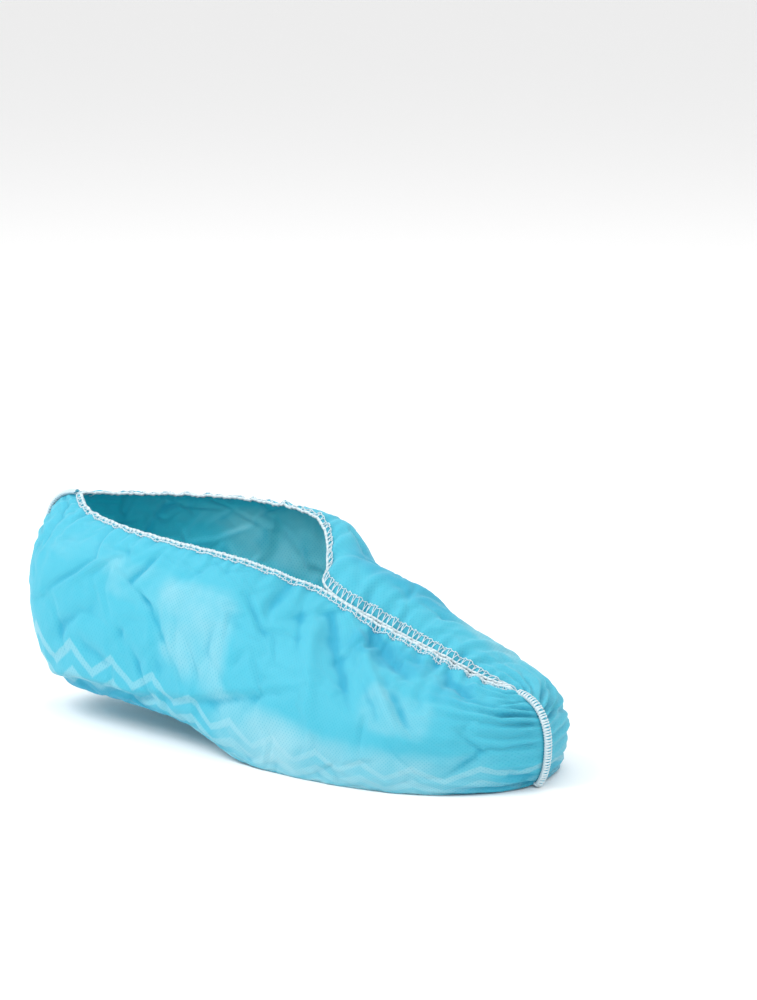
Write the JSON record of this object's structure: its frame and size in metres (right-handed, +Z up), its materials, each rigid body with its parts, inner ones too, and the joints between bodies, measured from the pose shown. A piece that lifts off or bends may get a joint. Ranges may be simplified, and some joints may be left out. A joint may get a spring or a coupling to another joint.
{
  "type": "shoe cover",
  "caption": "Disposable nonwoven shoe cover in its worn form, a folded sheet with sewn toe and heel seams and an elastic thread round its whole top edge.",
  "frame": {"origin": "on the inside of the sole, where the heel of the foot sits", "axes": "+X to the toe, +Z up out of the opening, -Y to the outer side of the right foot"},
  "size_m": [0.2926, 0.1107, 0.1015],
  "materials": {
    "fabric": "matte embossed nonwoven",
    "elastic": "white covered elastic",
    "seam_thread": "white overlock thread"
  },
  "bodies": {
    "root": {"fabric_body": "fabric", "opening_elastic": "elastic", "toe_seam": "seam_thread", "heel_seam": "seam_thread"}
  },
  "joints": []
}
